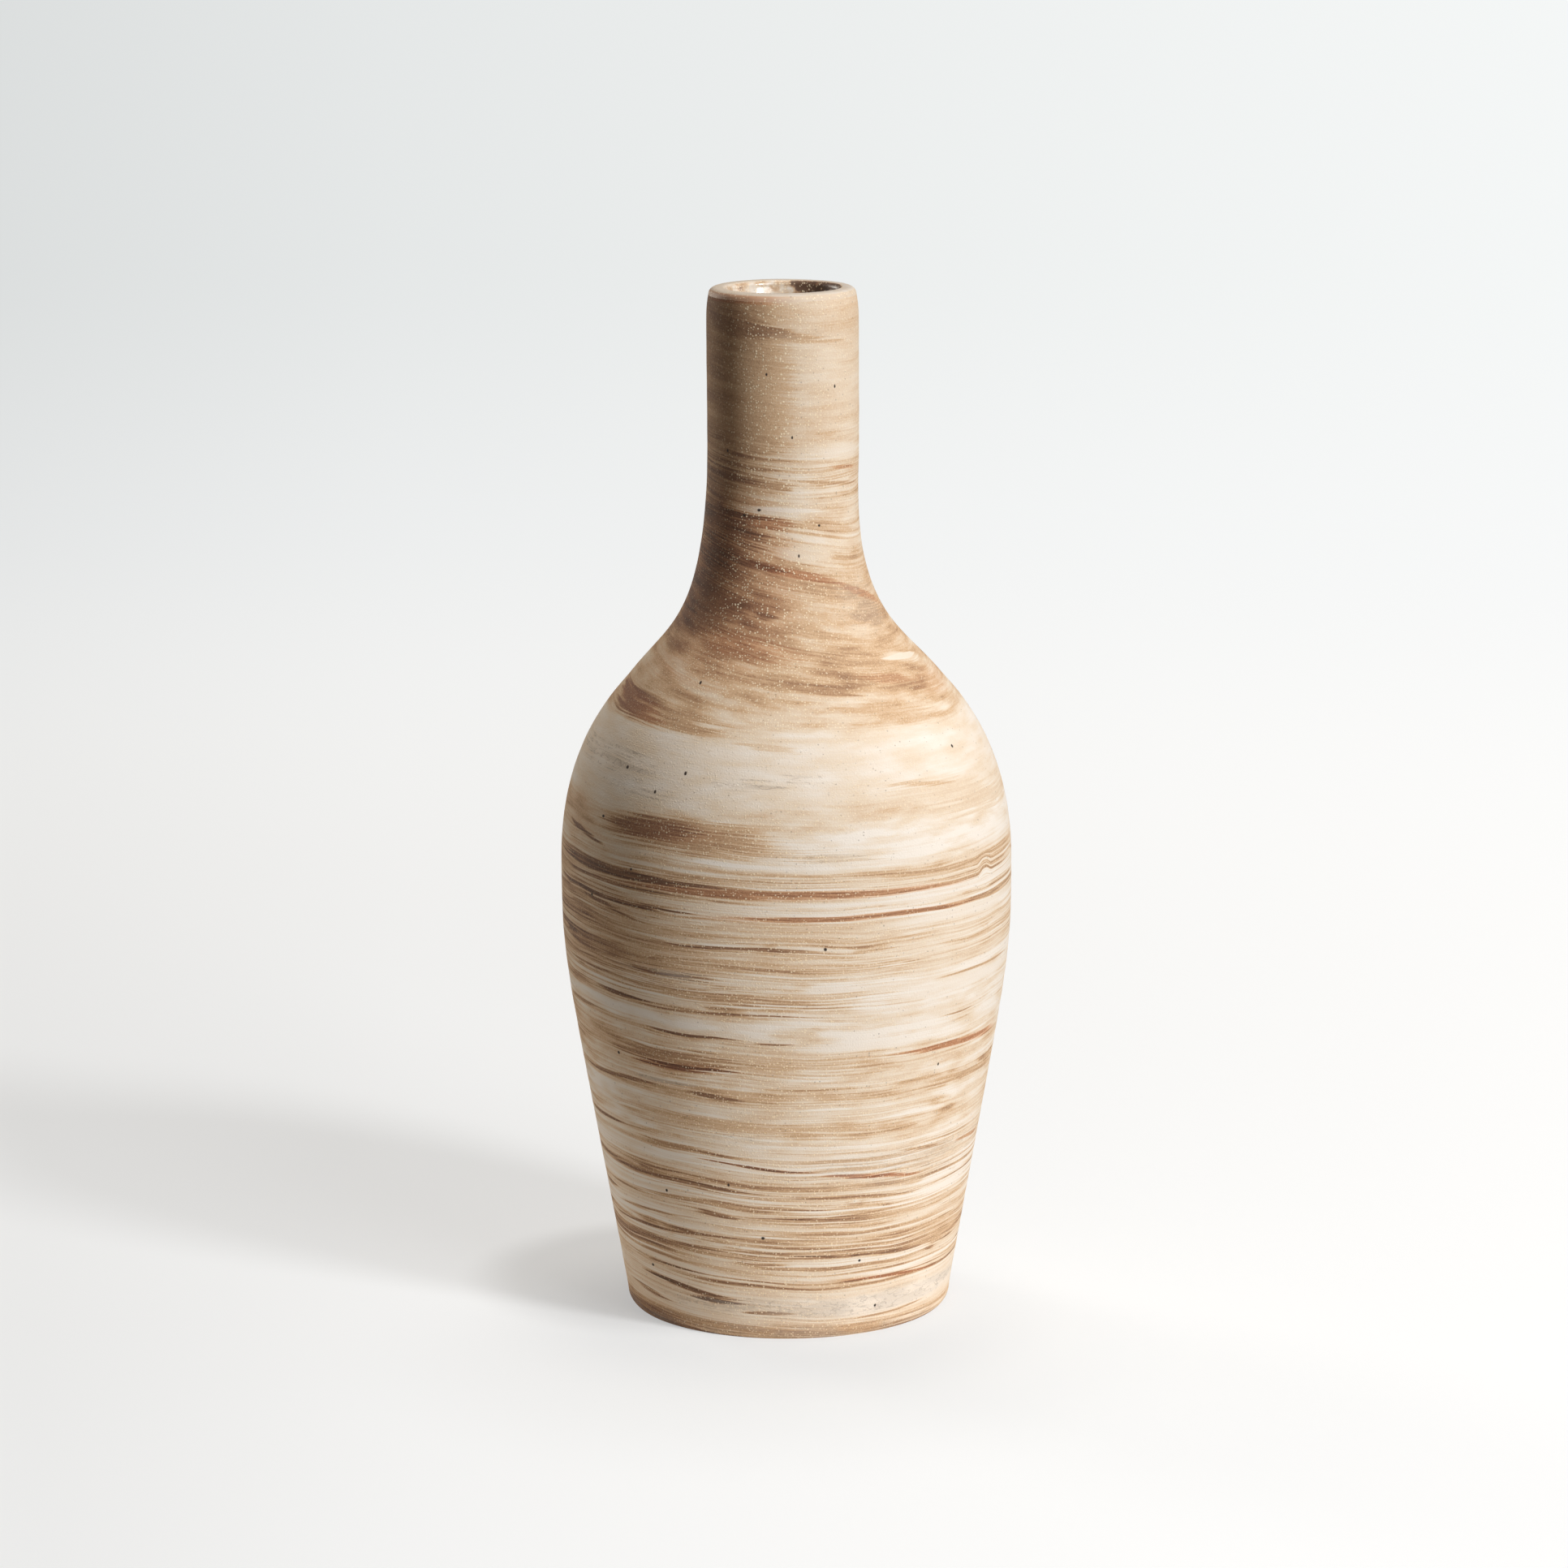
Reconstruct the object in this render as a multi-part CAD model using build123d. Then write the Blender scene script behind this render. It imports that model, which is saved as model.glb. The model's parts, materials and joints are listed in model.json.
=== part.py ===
from build123d import *
import math
import os

# A tall bottle vase thrown on the wheel from marbled clay.
# It is made as potters make a tall closed form: a lower section with its floor and a turned foot,
# an upper section with the shoulder and the neck, a slip joint that lutes the two rims together at
# the widest line, and a coat of glaze that lines the inside and runs over the lip.
# Millimetres, +Z up, origin at the centre of the foot on the surface that the vase stands on.

# Overall form, as radii and heights of the outside
height = 305.0
foot_radius = 46.9
foot_edge_radius = 48.3
foot_edge_height = 2.5
belly_radius = 67.0
belly_height = 134.0
shoulder_radius = 46.4
shoulder_height = 190.0
neck_radius = 22.35
neck_height = 252.0

# Lean of the wall from the vertical, in degrees, outwards positive
foot_lean = 9.8
shoulder_lean = -38.5

# How far each curve keeps its end direction, as shares of its chord
foot_to_belly_shares = (0.79, 0.244)
belly_to_shoulder_shares = (0.594, 0.102)
shoulder_to_neck_shares = (0.271, 0.669)

# Clay thickness, square to the wall
foot_wall = 8.0
belly_wall = 6.0
shoulder_wall = 5.8
neck_wall = 5.65

# Foot and floor
foot_ring_width = 6.5
foot_recess = 2.0
foot_recess_slope = 1.2
floor_height = 9.0
floor_round = 14.0

# Lip
lip_taper_height = 9.0
lip_taper = 0.65
lip_outer_round = 2.2
lip_inner_round = 1.6

# Luted joint between the two thrown sections: a V ridge in a V groove, with slip between
slip_thickness = 0.8
ridge_depth = 2.0
ridge_width = 3.2

# Glaze coat
glaze_thickness = 0.4

# The walls in a half section: each node is a radius, a height and a lean
foot_node = (foot_edge_radius, foot_edge_height, foot_lean)
belly_node = (belly_radius, belly_height, 0.0)
rim_node = (belly_radius, belly_height + slip_thickness, 0.0)
shoulder_node = (shoulder_radius, shoulder_height, shoulder_lean)
neck_node = (neck_radius, neck_height, 0.0)


def at(radius, level):
    """A point of the half section."""
    return Vector(radius, 0, level)


def along(lean):
    """The upward direction of a wall with that lean."""
    angle = math.radians(lean)
    return Vector(math.sin(angle), 0, math.cos(angle))


def inward(lean):
    """The direction into the vase, square to a wall with that lean."""
    angle = math.radians(lean)
    return Vector(-math.cos(angle), 0, math.sin(angle))


def inset(node, depth):
    """A wall node moved into the vase by that depth."""
    radius, level, lean = node
    place = at(radius, level) + inward(lean) * depth
    return place.X, place.Z, lean


def sweep_up(low, high, shares):
    """A wall curve from a low node to a high one, along both leans."""
    start, end = at(low[0], low[1]), at(high[0], high[1])
    chord = (end - start).length
    first = start + along(low[2]) * chord * shares[0]
    last = end - along(high[2]) * chord * shares[1]
    return Bezier(start, first, last, end)


def lower_curve(low, depth):
    """The wall from a low node up to the widest line, that depth inside the outer face."""
    return sweep_up(low, inset(belly_node, depth), foot_to_belly_shares)


def upper_curves(shoulder_depth, belly_depth, neck_depth):
    """The shoulder and the throat, each that depth inside the outer face."""
    rim = inset(rim_node, belly_depth)
    turn = inset(shoulder_node, shoulder_depth)
    neck = inset(neck_node, neck_depth)
    return [sweep_up(rim, turn, belly_to_shoulder_shares), sweep_up(turn, neck, shoulder_to_neck_shares)]


def floor_node(coat):
    """Where the inner wall leaves the rounding of the floor, on the clay or on a coat over it."""
    bend = floor_round - coat
    level = floor_height + coat + bend * (1 - math.sin(math.radians(foot_lean)))
    outer_radius = foot_edge_radius + (level - foot_edge_height) * math.tan(math.radians(foot_lean))
    depth = (foot_wall + coat) / math.cos(math.radians(foot_lean))
    return outer_radius - depth, level, foot_lean


def floor_lines(coat):
    """The floor from the axis to its rounding, and the rounding up to the wall."""
    bend = floor_round - coat
    node = floor_node(coat)
    wall = at(node[0], node[1])
    centre = wall + inward(foot_lean) * bend
    flat = at(centre.X, floor_height + coat)
    corner = (inward(foot_lean) * -1 + Vector(0, 0, -1)).normalized()
    return [Line(at(0, floor_height + coat), flat), ThreePointArc(flat, centre + corner * bend, wall)]


def quarter(centre, radius, start_angle):
    """A quarter arc of the lip, clockwise from that angle, seen with the radius to the right."""
    points = []
    for step in (0, 45, 90):
        angle = math.radians(start_angle - step)
        points.append(centre + Vector(math.cos(angle), 0, math.sin(angle)) * radius)
    return ThreePointArc(*points)


# Lip: the coat's face reaches the full height, and the clay lies one coat below it
bore_radius = neck_radius - neck_wall
clear_radius = bore_radius - glaze_thickness
lip_radius = neck_radius - lip_taper
inner_round_centre = at(clear_radius + lip_inner_round, height - lip_inner_round)
outer_round_centre = at(lip_radius - lip_outer_round, height - lip_outer_round)
lip_edge = at(lip_radius, height - lip_outer_round)


def lip_lines(coat):
    """The lip from the bore over the crest to its outer edge, on the glaze or a coat below it."""
    inner = quarter(inner_round_centre, lip_inner_round - coat, 180)
    outer = quarter(outer_round_centre, lip_outer_round - coat, 90)
    return [inner, Line(inner @ 1, outer @ 0), outer]


def rim_line(level):
    """The V line across a luted rim at that level, from the inside out."""
    inner = belly_radius - belly_wall
    middle = belly_radius - belly_wall / 2
    half = ridge_width / 2
    return Polyline(
        at(inner, level),
        at(middle - half, level),
        at(middle, level - ridge_depth),
        at(middle + half, level),
        at(belly_radius, level),
    ).edges()


def turned(lines):
    """A closed half section turned about the axis."""
    return revolve(make_face(lines), axis=Axis.Z, revolution_arc=360)


def lower_body():
    """The lower thrown section: foot ring, floor and wall up to the luted rim."""
    ring_inner = foot_radius - foot_ring_width
    recess_radius = ring_inner - foot_recess_slope
    foot_edge = at(foot_edge_radius, foot_edge_height)
    inner = lower_curve(floor_node(0), belly_wall)
    outside = [
        Line(at(0, floor_height), at(0, foot_recess)),
        Line(at(0, foot_recess), at(recess_radius, foot_recess)),
        Line(at(recess_radius, foot_recess), at(ring_inner, 0)),
        Line(at(ring_inner, 0), at(foot_radius, 0)),
        TangentArc(foot_edge, at(foot_radius, 0), tangent=along(foot_lean) * -1),
        lower_curve(foot_node, 0),
    ]
    return turned(outside + rim_line(belly_height) + [inner] + floor_lines(0))


def slip_joint():
    """The ring of slip between the two rims."""
    low, high = belly_height, belly_height + slip_thickness
    inner = belly_radius - belly_wall
    sides = [Line(at(inner, low), at(inner, high)), Line(at(belly_radius, low), at(belly_radius, high))]
    return turned(sides + rim_line(low) + rim_line(high))


def upper_body():
    """The upper thrown section: shoulder, throat, neck and lip."""
    taper_start = at(neck_radius, height - lip_taper_height)
    outside = upper_curves(0, 0, 0) + [
        Line(at(neck_radius, neck_height), taper_start),
        TangentArc(taper_start, lip_edge, tangent=along(0)),
    ]
    lip = lip_lines(glaze_thickness)
    ledge = Line(lip_edge, lip[-1] @ 1)
    inside = upper_curves(shoulder_wall, belly_wall, neck_wall)
    bore = Line(at(bore_radius, neck_height), lip[0] @ 0)
    rim = rim_line(belly_height + slip_thickness)
    return turned(outside + [ledge] + lip + [bore] + inside + rim)


def lining(coat):
    """The inside of the vase from the floor to the lip, on the clay or on a coat over it."""
    wall = belly_radius - belly_wall - coat
    low = lower_curve(floor_node(coat), belly_wall + coat)
    band = Line(at(wall, belly_height), at(wall, belly_height + slip_thickness))
    high = upper_curves(shoulder_wall + coat, belly_wall + coat, neck_wall + coat)
    lip = lip_lines(glaze_thickness - coat)
    bore = Line(at(bore_radius - coat, neck_height), lip[0] @ 0)
    return floor_lines(coat) + [low, band] + high + [bore] + lip


def inner_glaze():
    """The glaze coat over the floor, the inner wall and the lip."""
    on_clay = lining(0)
    face = lining(glaze_thickness)
    ends = [Line(on_clay[0] @ 0, face[0] @ 0), Line(on_clay[-1] @ 1, face[-1] @ 1)]
    return turned(on_clay + face + ends)


os.makedirs("parts", exist_ok=True)
makers = (lower_body, slip_joint, upper_body, inner_glaze)
for make in makers:
    export_step(make(), f"parts/{make.__name__}.step")
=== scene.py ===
import json
import math
from collections import namedtuple
import bmesh
import bpy
from mathutils import Matrix, Vector, geometry, noise


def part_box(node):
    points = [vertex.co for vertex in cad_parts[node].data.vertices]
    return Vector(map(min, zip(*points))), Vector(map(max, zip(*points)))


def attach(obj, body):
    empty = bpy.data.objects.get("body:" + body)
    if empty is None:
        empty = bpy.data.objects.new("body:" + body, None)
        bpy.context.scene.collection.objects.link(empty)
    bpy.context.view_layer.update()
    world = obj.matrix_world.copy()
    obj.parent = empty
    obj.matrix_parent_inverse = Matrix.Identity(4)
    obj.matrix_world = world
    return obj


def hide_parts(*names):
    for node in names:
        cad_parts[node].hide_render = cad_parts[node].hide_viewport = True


# A tall bottle vase of marbled clay: two thrown sections, the slip between their rims,
# and the glaze that lines the inside and runs over the lip.

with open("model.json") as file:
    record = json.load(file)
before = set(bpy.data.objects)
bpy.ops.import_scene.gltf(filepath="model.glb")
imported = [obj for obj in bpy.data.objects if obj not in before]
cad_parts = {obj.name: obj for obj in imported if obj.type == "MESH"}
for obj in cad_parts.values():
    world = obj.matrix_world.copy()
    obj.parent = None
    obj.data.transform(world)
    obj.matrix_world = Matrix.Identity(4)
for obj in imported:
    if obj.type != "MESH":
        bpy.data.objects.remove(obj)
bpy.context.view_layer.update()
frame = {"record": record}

# Sizes are millimetres and degrees, turned to metres where a mesh, a lamp or the camera takes them
mm = 0.001

# What the CAD frame gives
lower_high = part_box("lower_body")[1]
slip_low, slip_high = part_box("slip_joint")
liner_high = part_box("inner_glaze")[1]
mouth = next(mount for mount in frame["record"]["mounts"] if mount["name"] == "mouth")
height = liner_high.z / mm
belly_radius = lower_high.x / mm
belly_height = lower_high.z / mm
rim_height = slip_high.z / mm
ridge_depth = belly_height - slip_low.z / mm
clear_radius = mouth["dims"]["r_mm"]

# The rest of the outer face
foot_radius = 46.9
foot_edge_radius = 48.3
foot_edge_height = 2.5
shoulder_radius = 46.4
shoulder_height = 190.0
neck_radius = 22.35
neck_height = 252.0
foot_lean = 9.8
shoulder_lean = -38.5
foot_to_belly_shares = (0.79, 0.244)
belly_to_shoulder_shares = (0.594, 0.102)
shoulder_to_neck_shares = (0.271, 0.669)

# Clay and glaze thickness, square to the wall
glaze_thickness = 0.4
foot_wall = 8.0
belly_wall = 6.0
shoulder_wall = 5.8
bore_radius = clear_radius + glaze_thickness
neck_wall = neck_radius - bore_radius

# Foot, floor, joint and lip
foot_ring_width = 6.5
foot_recess = 2.0
foot_recess_slope = 1.2
floor_height = 9.0
floor_round = 14.0
ridge_width = 3.2
lip_taper_height = 9.0
lip_taper = 0.65
lip_radius = neck_radius - lip_taper
lip_outer_round = 2.2
lip_inner_round = 1.6

# How finely the pieces are turned: steps round the axis, spacing along the half section and steps
# round an arc, and then how close points are merged and past which angle an edge is sharp
turn_steps = 240
outer_spacing = 0.9
inner_spacing = 3.0
round_steps = 8
merge_distance = 0.001
sharp_angle = 30.0

# Nearer the axis than this a point has no side of its own
axis_clear = 1.0

# How far the hand-thrown surface strays from the CAD solid, never outside its outline: throwing
# rings, an uneven wall, an uneven lip, and the turned rings in the recess of the foot
ripple_depth = 0.10
ripple_pitch = 7.0
wobble_depth = 0.16
wobble_pace = 1.3
wobble_start = 9.0
lip_sag = 0.22
lip_sag_height = 8.0
lip_sag_pace = 0.9
lip_sag_start = 4.2
recess_ring_depth = 0.16
recess_ring_pitch = 3.4

# How far the throat and the neck stand to the left of the foot
throat_lean = 0.75
throat_height = 224.0
throat_reach = 38.0
neck_lean = 0.3

Node = namedtuple("Node", "radius level lean")
foot_node = Node(foot_edge_radius, foot_edge_height, foot_lean)
belly_node = Node(belly_radius, belly_height, 0.0)
rim_node = Node(belly_radius, rim_height, 0.0)
shoulder_node = Node(shoulder_radius, shoulder_height, shoulder_lean)
neck_node = Node(neck_radius, neck_height, 0.0)


def at(radius, level):
    """A point of the half section."""
    return Vector((radius, 0, level))


def along(lean):
    """The upward direction of a wall with that lean."""
    return at(math.sin(math.radians(lean)), math.cos(math.radians(lean)))


def inward(lean):
    """The direction into the vase, square to a wall with that lean."""
    return at(-math.cos(math.radians(lean)), math.sin(math.radians(lean)))


def inset(node, depth):
    """A wall node moved into the vase by that depth."""
    place = at(node.radius, node.level) + inward(node.lean) * depth
    return Node(place.x, place.z, node.lean)


def straight(start, end, spacing):
    """Points along a straight run."""
    count = max(1, round((end - start).length / spacing))
    return [start.lerp(end, step / count) for step in range(count + 1)]


def arc(centre, radius, start, end):
    """Points round an arc, between two angles in degrees from the outward direction."""
    angles = [math.radians(start + (end - start) * step / round_steps) for step in range(round_steps + 1)]
    return [centre + at(math.cos(angle), math.sin(angle)) * radius for angle in angles]


def bend(start, normal, end):
    """Points round the arc that leaves the start square to a normal and reaches the end."""
    reach = end - start
    radius = reach.dot(reach) / (2 * normal.dot(reach))
    centre = start + normal * radius
    angles = [math.degrees(math.atan2(p.z - centre.z, p.x - centre.x)) for p in (start, end)]
    if angles[0] - angles[1] > 180:
        angles[1] += 360
    if angles[1] - angles[0] > 180:
        angles[0] += 360
    return arc(centre, abs(radius), angles[0], angles[1])


def sweep_up(low, high, shares, spacing):
    """Points up a wall curve from a low node to a high one, along both leans."""
    start, end = at(low.radius, low.level), at(high.radius, high.level)
    chord = (end - start).length
    first = start + along(low.lean) * chord * shares[0]
    last = end - along(high.lean) * chord * shares[1]
    return geometry.interpolate_bezier(start, first, last, end, round(chord / spacing) + 1)


def lower_curve(low, depth, spacing):
    """The wall from a low node up to the widest line, that depth inside the outer face."""
    return sweep_up(low, inset(belly_node, depth), foot_to_belly_shares, spacing)


def upper_curves(shoulder_depth, belly_depth, neck_depth, spacing):
    """The shoulder and the throat, each that depth inside the outer face."""
    rim = inset(rim_node, belly_depth)
    turn = inset(shoulder_node, shoulder_depth)
    neck = inset(neck_node, neck_depth)
    shoulder = sweep_up(rim, turn, belly_to_shoulder_shares, spacing)
    return joined(shoulder, sweep_up(turn, neck, shoulder_to_neck_shares, spacing))


def floor_node(coat):
    """Where the inner wall leaves the rounding of the floor, on the clay or on a coat over it."""
    slope = math.radians(foot_lean)
    level = floor_height + coat + (floor_round - coat) * (1 - math.sin(slope))
    outer_radius = foot_edge_radius + (level - foot_edge_height) * math.tan(slope)
    return Node(outer_radius - (foot_wall + coat) / math.cos(slope), level, foot_lean)


def floor_run(coat):
    """The floor from the axis to its rounding, and the rounding up to the wall."""
    node = floor_node(coat)
    radius = floor_round - coat
    centre = at(node.radius, node.level) + inward(foot_lean) * radius
    flat = straight(at(0, floor_height + coat), at(centre.x, floor_height + coat), inner_spacing)
    return joined(flat, arc(centre, radius, -90, -foot_lean))


def lip_run(coat):
    """The lip from the bore over the crest to its outer edge, on the glaze or a coat below it."""
    inner_centre = at(clear_radius + lip_inner_round, height - lip_inner_round)
    outer_centre = at(lip_radius - lip_outer_round, height - lip_outer_round)
    inner = arc(inner_centre, lip_inner_round - coat, 180, 90)
    return joined(inner, arc(outer_centre, lip_outer_round - coat, 90, 0))


def rim_run(level):
    """The V line across a luted rim at that level, from the inside out."""
    middle = belly_radius - belly_wall / 2
    half = ridge_width / 2
    return [
        at(belly_radius - belly_wall, level),
        at(middle - half, level),
        at(middle, level - ridge_depth),
        at(middle + half, level),
        at(belly_radius, level),
    ]


def joined(*runs):
    """One run of points through several, where each begins at the end of the one before."""
    points = list(runs[0])
    for run in runs[1:]:
        points += list(run)[1:]
    return points


def lower_section():
    """The lower thrown section: recessed foot, wall, luted rim, inner wall and floor."""
    ring_inner = foot_radius - foot_ring_width
    recess_radius = ring_inner - foot_recess_slope
    recess = straight(at(0, foot_recess), at(recess_radius, foot_recess), outer_spacing)
    for point in recess:
        edge_fade = min(1, (recess_radius - point.x) / recess_ring_pitch)
        wave = 1 - math.cos(math.tau * (recess_radius - point.x) / recess_ring_pitch)
        point.z += recess_ring_depth * edge_fade * wave / 2
    ring = straight(at(ring_inner, 0), at(foot_radius, 0), outer_spacing)
    edge = bend(at(foot_edge_radius, foot_edge_height), inward(foot_lean), at(foot_radius, 0))
    foot = joined(recess, [recess[-1], *ring], edge[::-1])
    outside = joined(foot, lower_curve(foot_node, 0, outer_spacing))
    inside = joined(floor_run(0), lower_curve(floor_node(0), belly_wall, inner_spacing))
    return joined(outside, rim_run(belly_height)[::-1], inside[::-1])


def slip_ring():
    """The ring of slip between the two rims."""
    return rim_run(belly_height) + rim_run(rim_height)[::-1]


def upper_section():
    """The upper thrown section: shoulder, throat, neck and the clay of the lip."""
    taper_start = at(neck_radius, height - lip_taper_height)
    lip_edge = at(lip_radius, height - lip_outer_round)
    neck = straight(at(neck_radius, neck_height), taper_start, outer_spacing)
    taper = bend(taper_start, inward(0), lip_edge)
    outside = joined(upper_curves(0, 0, 0, outer_spacing), neck, taper)
    lip = lip_run(glaze_thickness)[::-1]
    bore = straight(lip[-1], at(bore_radius, neck_height), inner_spacing)
    inside = upper_curves(shoulder_wall, belly_wall, neck_wall, inner_spacing)[::-1]
    rim = rim_run(rim_height)[1:-1]
    return joined(outside, [lip_edge, *lip], bore, inside) + rim


def lining(coat):
    """The inside of the vase from the floor to the lip, on the clay or on a coat over it."""
    wall = belly_wall + coat
    low = joined(floor_run(coat), lower_curve(floor_node(coat), wall, inner_spacing))
    band = [low[-1], at(belly_radius - wall, rim_height)]
    high = upper_curves(shoulder_wall + coat, wall, neck_wall + coat, inner_spacing)
    lip = lip_run(glaze_thickness - coat)
    bore = straight(high[-1], lip[0], inner_spacing)
    return joined(low, band, high, bore, lip)


def liner():
    """The glaze coat: the lining on the clay, and back over the glaze's own face."""
    return lining(0) + lining(glaze_thickness)[::-1]


def thrown(place):
    """Where a point of the turned form lies on the hand-thrown one, in millimetres."""
    radius = math.hypot(place.x, place.y)
    foot_fade = min(1, max(0, place.z / foot_edge_height - 1))
    if radius < axis_clear or foot_fade == 0:
        return place
    outward = Vector((place.x, place.y, 0)) / radius
    ripple = noise.noise(Vector((outward.x, outward.y, place.z / ripple_pitch)))
    wobble = noise.noise(outward * wobble_pace + at(0, place.z / belly_radius + wobble_start))
    depth = (ripple_depth * (1 + ripple) + wobble_depth * (1 + wobble)) / 2
    lip_share = min(1, max(0, 1 - (height - place.z) / lip_sag_height))
    sag = noise.noise(outward * lip_sag_pace + at(0, lip_sag_start))
    drop = at(0, lip_sag * (1 + sag) / 2 * lip_share * lip_share)
    throat_share = max(0, 1 - ((place.z - throat_height) / throat_reach) ** 2)
    neck_share = min(1, max(0, (place.z - shoulder_height) / throat_reach))
    aside = at(throat_lean * throat_share * throat_share + neck_lean * neck_share, 0)
    return place - outward * depth * foot_fade - drop - aside


def add_object(name, data):
    """A new object in the scene, for a mesh, a lamp or a camera."""
    made = bpy.data.objects.new(name, data)
    bpy.context.scene.collection.objects.link(made)
    return made


def turned(name, outline):
    """A half section, closed unless it starts on the axis, spun a quarter turn and mirrored."""
    shape = bmesh.new()
    points = [shape.verts.new(point) for point in outline]
    edges = [shape.edges.new(pair) for pair in zip(points, points[1:])]
    if outline[0].x > 0:
        edges.append(shape.edges.new((points[-1], points[0])))
    bmesh.ops.spin(
        shape,
        geom=points + edges,
        cent=(0, 0, 0),
        axis=(0, 0, 1),
        dvec=(0, 0, 0),
        angle=math.tau / 4,
        steps=turn_steps // 4,
        use_merge=False,
        use_duplicate=False,
    )
    for axis in ("X", "Y"):
        parts = shape.verts[:] + shape.edges[:] + shape.faces[:]
        bmesh.ops.mirror(
            shape, geom=parts, matrix=Matrix.Identity(4), merge_dist=merge_distance, axis=axis
        )
    bmesh.ops.remove_doubles(shape, verts=shape.verts, dist=merge_distance)
    bmesh.ops.recalc_face_normals(shape, faces=shape.faces)
    for vertex in shape.verts:
        vertex.co = thrown(vertex.co)
    bmesh.ops.scale(shape, vec=(mm, mm, mm), verts=shape.verts)
    for face in shape.faces:
        face.smooth = True
    mesh = bpy.data.meshes.new(name)
    shape.to_mesh(mesh)
    shape.free()
    mesh.set_sharp_from_angle(angle=math.radians(sharp_angle))
    return add_object(name, mesh)


def wire(tree, socket, value):
    """Links a socket to another one, or sets its value."""
    if isinstance(value, bpy.types.NodeSocket):
        tree.links.new(value, socket)
    else:
        socket.default_value = value


def node(tree, kind, inputs=None, **settings):
    """A new node with its settings, and its inputs by name or number."""
    made = tree.nodes.new(kind)
    for name, value in settings.items():
        setattr(made, name, value)
    for name, value in (inputs or {}).items():
        wire(tree, made.inputs[name], value)
    return made


def calc(tree, operation, *values):
    """The output of a Math node."""
    return node(tree, "ShaderNodeMath", dict(enumerate(values)), operation=operation).outputs[0]


def product(tree, first, *others):
    """Numbers multiplied together, from the first on."""
    for other in others:
        first = calc(tree, "MULTIPLY", first, other)
    return first


def scaled(tree, value, gain, offset):
    """A number times a gain, with an offset added."""
    return calc(tree, "MULTIPLY_ADD", value, gain, offset)


def centred(tree, value, gain):
    """A number about a half, as a number about zero times the gain."""
    return product(tree, calc(tree, "SUBTRACT", value, 0.5), gain)


def apart(tree, value, other):
    """How far a number is from another one, either way."""
    return calc(tree, "ABSOLUTE", calc(tree, "SUBTRACT", value, other))


def vector_calc(tree, operation, *values):
    """The output of a Vector Math node: a vector, or a number for a length."""
    made = node(tree, "ShaderNodeVectorMath", dict(enumerate(values)), operation=operation)
    return made.outputs["Value" if operation == "LENGTH" else "Vector"]


def reach_from(tree, place, centre):
    """How far a place is from a centre."""
    return vector_calc(tree, "LENGTH", vector_calc(tree, "SUBTRACT", place, centre))


def split(tree, place):
    """The three numbers of a place."""
    return node(tree, "ShaderNodeSeparateXYZ", {0: place}).outputs


def combined(tree, *numbers):
    """A place from its numbers."""
    return node(tree, "ShaderNodeCombineXYZ", dict(enumerate(numbers))).outputs[0]


def fade(tree, value, start, end, low=0.0, high=1.0):
    """A smooth step from low to high as the value goes from start to end."""
    inputs = {"Value": value, "From Min": start, "From Max": end, "To Min": low, "To Max": high}
    made = node(tree, "ShaderNodeMapRange", inputs, interpolation_type="SMOOTHSTEP")
    return made.outputs["Result"]


def mix(tree, factor, low, high):
    """A number part way between two others."""
    return node(tree, "ShaderNodeMix", {0: factor, 2: low, 3: high}, data_type="FLOAT").outputs[0]


def mix_colour(tree, factor, low, high, blend="MIX"):
    """A colour part way between two others, or the first one multiplied by the second."""
    inputs = {0: factor, 6: low, 7: high}
    return node(tree, "ShaderNodeMix", inputs, data_type="RGBA", blend_type=blend).outputs[2]


def ramp(tree, factor, stops):
    """A colour ramp through stops of a place and a colour."""
    made = node(tree, "ShaderNodeValToRGB", {"Fac": factor})
    elements = made.color_ramp.elements
    while len(elements) < len(stops):
        elements.new(1.0)
    for element, (place, colour) in zip(elements, stops):
        element.position = place
        element.color = (*colour, 1)
    return made.outputs["Color"]


def profile(tree, value, points):
    """A curve of a number against another number from 0 to 1."""
    made = node(tree, "ShaderNodeFloatCurve", {"Value": value})
    curve = made.mapping.curves[0]
    while len(curve.points) < len(points):
        curve.points.new(1.0, 1.0)
    for point, (place, result) in zip(curve.points, points):
        point.location = (place, result)
        point.handle_type = "AUTO_CLAMPED"
    made.mapping.update()
    return made.outputs["Value"]


def mix_shader(tree, factor, first, second):
    """A shader part way between two others."""
    inputs = {0: factor, 1: first, 2: second}
    return node(tree, "ShaderNodeMixShader", inputs).outputs[0]


def add_shader(tree, first, second):
    """Two shaders added together."""
    return node(tree, "ShaderNodeAddShader", {0: first, 1: second}).outputs[0]


def diffuse(tree, colour):
    """A plain matt shader."""
    return node(tree, "ShaderNodeBsdfDiffuse", {"Color": colour}).outputs[0]


def new_material(name):
    """A material with an empty tree, and a point's place on the object."""
    material = bpy.data.materials.new(name)
    material.use_nodes = True
    material.node_tree.nodes.clear()
    coordinates = node(material.node_tree, "ShaderNodeTexCoord").outputs["Object"]
    return material, material.node_tree, coordinates


def new_group(name, inputs, outputs):
    """An empty node group with those sockets, its input sockets and its output sockets."""
    tree = bpy.data.node_groups.new(name, "ShaderNodeTree")
    for socket, kind in inputs.items():
        tree.interface.new_socket(name=socket, in_out="INPUT", socket_type="NodeSocket" + kind)
    for socket, kind in outputs.items():
        tree.interface.new_socket(name=socket, in_out="OUTPUT", socket_type="NodeSocket" + kind)
    return tree, tree.nodes.new("NodeGroupInput").outputs, tree.nodes.new("NodeGroupOutput").inputs


def use(tree, group, inputs):
    """A node group placed in a tree, with its inputs."""
    made = tree.nodes.new("ShaderNodeGroup")
    made.node_tree = group
    for name, value in inputs.items():
        wire(tree, made.inputs[name], value)
    return made.outputs


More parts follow.
